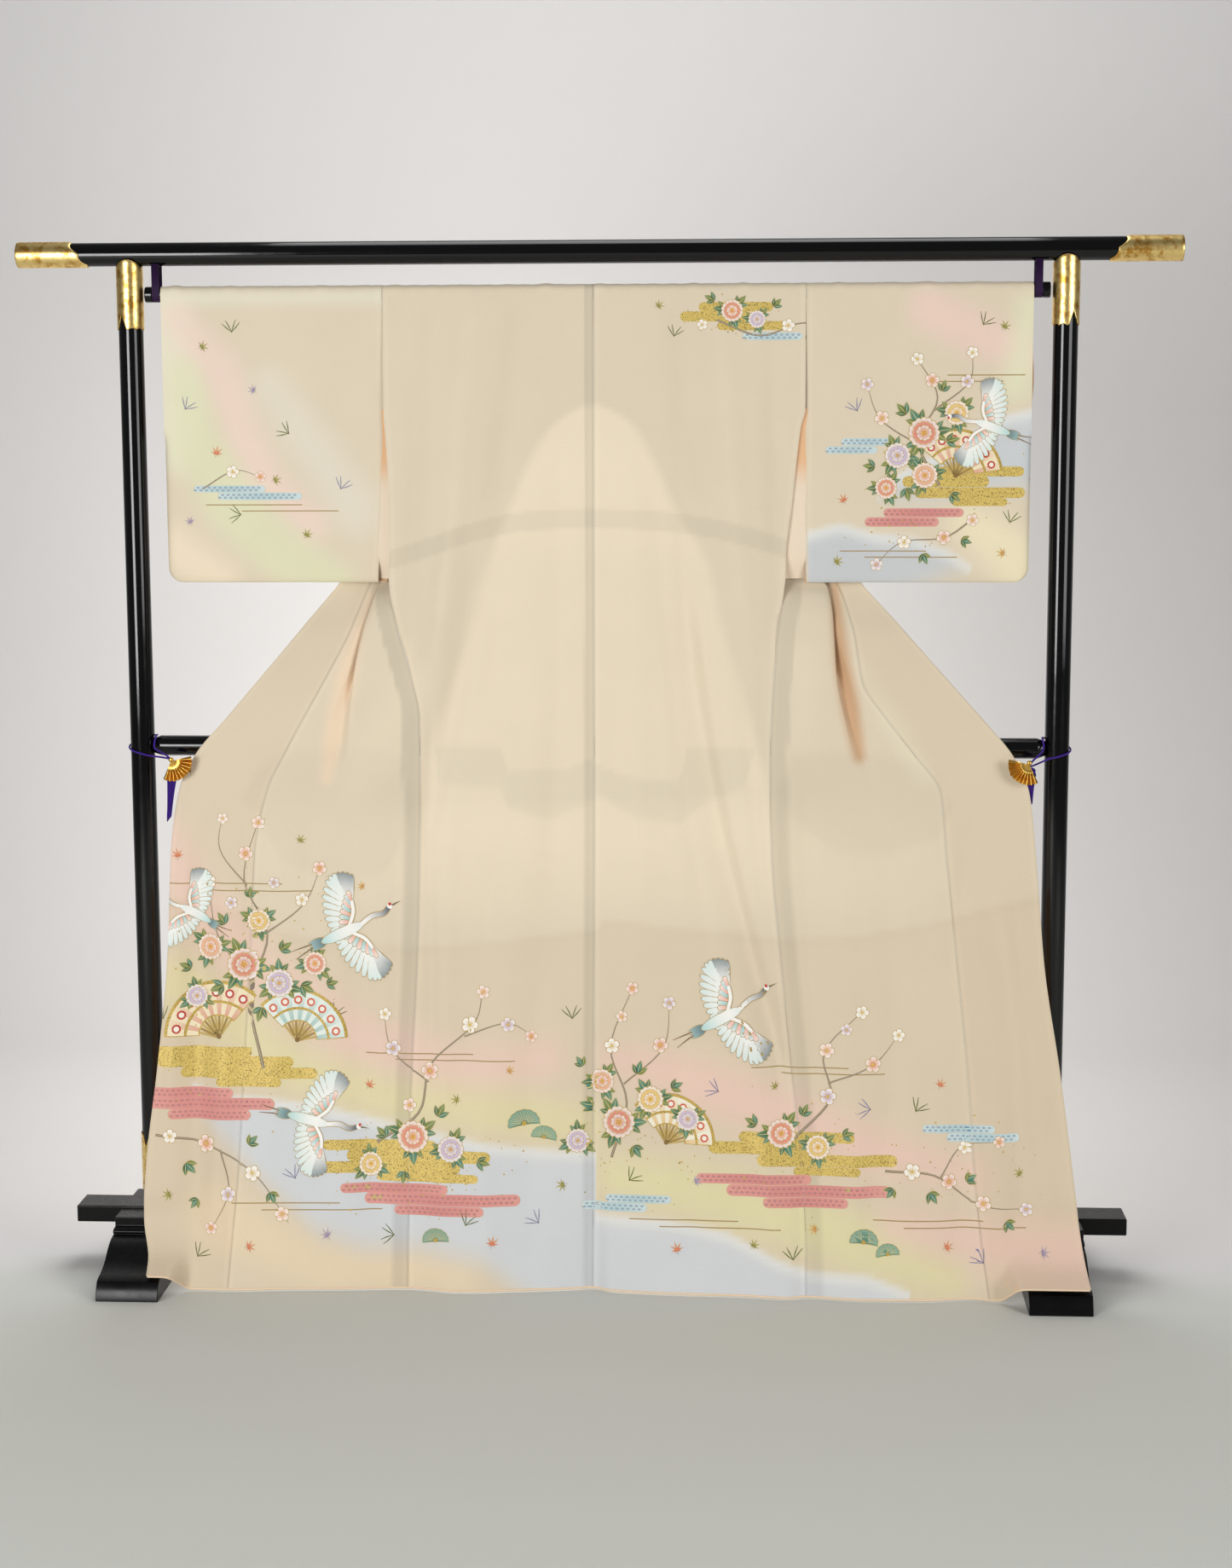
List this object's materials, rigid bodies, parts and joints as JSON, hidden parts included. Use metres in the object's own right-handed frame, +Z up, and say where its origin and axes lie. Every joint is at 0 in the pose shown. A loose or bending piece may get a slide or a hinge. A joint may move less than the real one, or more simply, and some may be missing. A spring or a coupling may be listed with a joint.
{
  "type": "homongi kimono on a lacquered kimono stand",
  "caption": "Formal visiting kimono hung back out over a rod on a black lacquered stand, its fronts spread to the sides and held by fan clips with tassels.",
  "frame": {"origin": "on the floor, under the middle of the bounding box", "axes": "+X along the top rail towards the viewer's right, +Y away from the viewer, +Z up; the back of the kimono faces -Y"},
  "size_m": [1.884, 0.448, 1.7165],
  "materials": {
    "silk": "cream silk crepe with a soft sheen",
    "lining": "peach plain silk lining",
    "lacquer": "wood under polished black lacquer",
    "gilt": "gilt sheet metal, polished",
    "braid": "purple silk cord"
  },
  "bodies": {
    "root": {"body_left": "silk", "body_right": "silk", "okumi_left": "silk", "okumi_right": "silk", "sleeve_left": "silk", "sleeve_right": "silk", "collar_left": "silk", "collar_right": "silk", "over_collar": "silk", "hem_roll": "lining", "top_rail": "lacquer", "middle_rail": "lacquer", "rod": "lacquer", "base_bar": "lacquer", "upright_left": "lacquer", "upright_right": "lacquer", "foot_left": "lacquer", "foot_right": "lacquer", "rail_end_left": "gilt", "rail_end_right": "gilt", "upright_cap_left": "gilt", "upright_cap_right": "gilt", "upright_shoe_left": "gilt", "upright_shoe_right": "gilt", "fan_clip_left": "gilt", "fan_clip_right": "gilt", "clip_jaw_left": "gilt", "clip_jaw_right": "gilt", "strap_left": "braid", "strap_right": "braid", "tie_cord_left": "braid", "tie_cord_right": "braid", "tassel_left": "braid", "tassel_right": "braid"}
  },
  "joints": []
}
